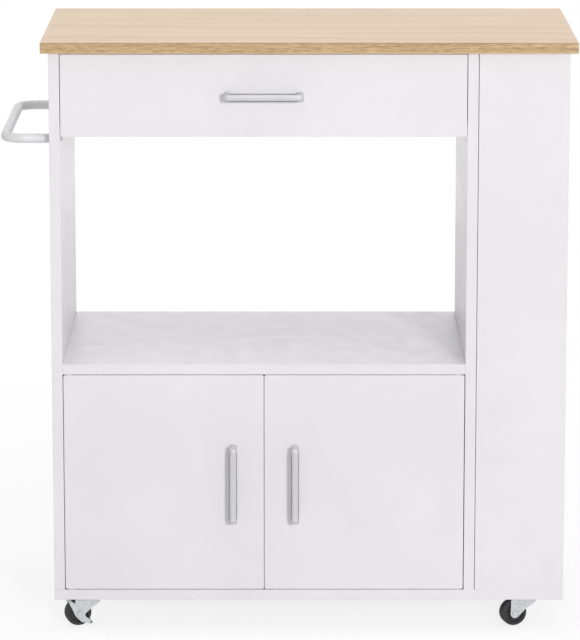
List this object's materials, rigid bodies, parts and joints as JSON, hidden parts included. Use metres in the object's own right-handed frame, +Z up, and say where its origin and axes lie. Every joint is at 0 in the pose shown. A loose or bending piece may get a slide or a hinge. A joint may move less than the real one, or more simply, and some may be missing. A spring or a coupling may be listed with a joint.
{
  "type": "kitchen cart",
  "caption": "White kitchen cart on swivel casters with a wood worktop, a drawer, an open bay, a cupboard with doors, side shelves and a towel rail.",
  "frame": {"origin": "on the floor, under the middle of the part's outer box", "axes": "+X to the right as seen by someone in front of the drawer, +Y to the back, +Z up"},
  "size_m": [0.8644, 0.415, 0.912],
  "materials": {
    "white_laminate": "satin white laminate on particle board",
    "white_hardboard": "white lacquered hardboard",
    "oak_worktop": "matt light oak",
    "beech_dowel": "raw beech",
    "chrome_tube": "satin chrome",
    "satin_aluminium": "satin",
    "zinc_steel": "zinc plated",
    "white_painted_steel": "powder coated",
    "white_plastic": "matt",
    "grey_plastic": "matt",
    "black_plastic": "matt"
  },
  "bodies": {
    "cabinet": {"worktop": "oak_worktop", "bottom_panel": "white_laminate", "left_side_panel": "white_laminate", "divider_panel": "white_laminate", "middle_shelf": "white_laminate", "cabinet_back_panel": "white_hardboard", "inner_shelf": "white_laminate", "shelf_pins": "zinc_steel", "upper_back_rail": "white_laminate", "column_front_panel": "white_laminate", "column_back_panel": "white_laminate", "side_shelves": "white_laminate", "guard_rods": "chrome_tube", "towel_rail": "chrome_tube", "towel_rail_plugs": "grey_plastic", "towel_rail_screws": "zinc_steel", "cam_housings": "zinc_steel", "cam_bolts": "zinc_steel", "wood_dowels": "beech_dowel", "cabinet_runners": "white_painted_steel", "runner_screws": "zinc_steel", "pivot_pins": "zinc_steel", "door_catches": "white_plastic", "catch_screws": "zinc_steel", "caster_plates": "zinc_steel", "caster_screws": "zinc_steel"},
    "drawer": {"drawer_front": "white_laminate", "drawer_left_side": "white_laminate", "drawer_right_side": "white_laminate", "drawer_back": "white_laminate", "drawer_bottom": "white_hardboard", "drawer_cams": "zinc_steel", "drawer_cam_bolts": "zinc_steel", "drawer_rails": "white_painted_steel", "drawer_handle": "satin_aluminium", "drawer_handle_screws": "zinc_steel"},
    "front_rollers": {"front_rollers": "white_plastic"},
    "rear_rollers": {"rear_rollers": "white_plastic"},
    "left_door": {"left_door": "white_laminate", "left_door_handle": "satin_aluminium", "left_door_handle_screws": "zinc_steel", "left_door_bushes": "white_plastic", "left_door_strike": "zinc_steel"},
    "right_door": {"right_door": "white_laminate", "right_door_handle": "satin_aluminium", "right_door_handle_screws": "zinc_steel", "right_door_bushes": "white_plastic", "right_door_strike": "zinc_steel"},
    "front_left_fork": {"front_left_fork": "zinc_steel"},
    "front_left_wheel": {"front_left_wheel": "black_plastic"},
    "front_left_brake": {"front_left_brake": "zinc_steel"},
    "front_right_fork": {"front_right_fork": "zinc_steel"},
    "front_right_wheel": {"front_right_wheel": "black_plastic"},
    "rear_left_fork": {"rear_left_fork": "zinc_steel"},
    "rear_left_wheel": {"rear_left_wheel": "black_plastic"},
    "rear_right_fork": {"rear_right_fork": "zinc_steel"},
    "rear_right_wheel": {"rear_right_wheel": "black_plastic"},
    "rear_right_brake": {"rear_right_brake": "zinc_steel"}
  },
  "joints": [
    {"name": "drawer_slide", "type": "slide", "parent": "cabinet", "child": "drawer", "axis": [0, -1, 0], "range_m": [0, 0.26]},
    {"name": "front_roller_spin", "type": "hinge", "parent": "cabinet", "child": "front_rollers", "pos_m": [-0.03575, -0.1515, 0.7993], "axis": [1, 0, 0], "range_deg": [-5, 1360]},
    {"name": "rear_roller_spin", "type": "hinge", "parent": "drawer", "child": "rear_rollers", "pos_m": [-0.03575, 0.1435, 0.7974], "axis": [1, 0, 0], "range_deg": [-5, 1360]},
    {"name": "left_door_pivot", "type": "hinge", "parent": "cabinet", "child": "left_door", "pos_m": [-0.33025, -0.1775, 0.2365], "axis": [0, 0, -1], "range_deg": [0, 115]},
    {"name": "right_door_pivot", "type": "hinge", "parent": "cabinet", "child": "right_door", "pos_m": [0.25875, -0.1775, 0.2365], "axis": [0, 0, 1], "range_deg": [0, 115]},
    {"name": "front_left_swivel", "type": "hinge", "parent": "cabinet", "child": "front_left_fork", "pos_m": [-0.30325, -0.1305, 0.048], "axis": [0, 0, 1], "continuous": true},
    {"name": "front_left_wheel_spin", "type": "hinge", "parent": "front_left_fork", "child": "front_left_wheel", "pos_m": [-0.32371, -0.13676, 0.02], "axis": [0.2924, -0.9563, 0], "continuous": true},
    {"name": "front_left_brake_lift", "type": "hinge", "parent": "front_left_fork", "child": "front_left_brake", "pos_m": [-0.32371, -0.13676, 0.02], "axis": [0.2924, -0.9563, 0], "range_deg": [0, 20]},
    {"name": "front_right_swivel", "type": "hinge", "parent": "cabinet", "child": "front_right_fork", "pos_m": [0.36775, -0.1305, 0.048], "axis": [0, 0, 1], "continuous": true},
    {"name": "front_right_wheel_spin", "type": "hinge", "parent": "front_right_fork", "child": "front_right_wheel", "pos_m": [0.34729, -0.13676, 0.02], "axis": [0.2924, -0.9563, 0], "continuous": true},
    {"name": "rear_left_swivel", "type": "hinge", "parent": "cabinet", "child": "rear_left_fork", "pos_m": [-0.30325, 0.1555, 0.048], "axis": [0, 0, 1], "continuous": true},
    {"name": "rear_left_wheel_spin", "type": "hinge", "parent": "rear_left_fork", "child": "rear_left_wheel", "pos_m": [-0.32371, 0.14924, 0.02], "axis": [0.2924, -0.9563, 0], "continuous": true},
    {"name": "rear_right_swivel", "type": "hinge", "parent": "cabinet", "child": "rear_right_fork", "pos_m": [0.36775, 0.1555, 0.048], "axis": [0, 0, 1], "continuous": true},
    {"name": "rear_right_wheel_spin", "type": "hinge", "parent": "rear_right_fork", "child": "rear_right_wheel", "pos_m": [0.34729, 0.14924, 0.02], "axis": [0.2924, -0.9563, 0], "continuous": true},
    {"name": "rear_right_brake_lift", "type": "hinge", "parent": "rear_right_fork", "child": "rear_right_brake", "pos_m": [0.34729, 0.14924, 0.02], "axis": [0.2924, -0.9563, 0], "range_deg": [0, 20]}
  ],
  "couplings": [
    {"joint": "front_roller_spin", "follows": "drawer_slide", "rad_per_m": 90.909},
    {"joint": "rear_roller_spin", "follows": "drawer_slide", "rad_per_m": 90.909}
  ]
}
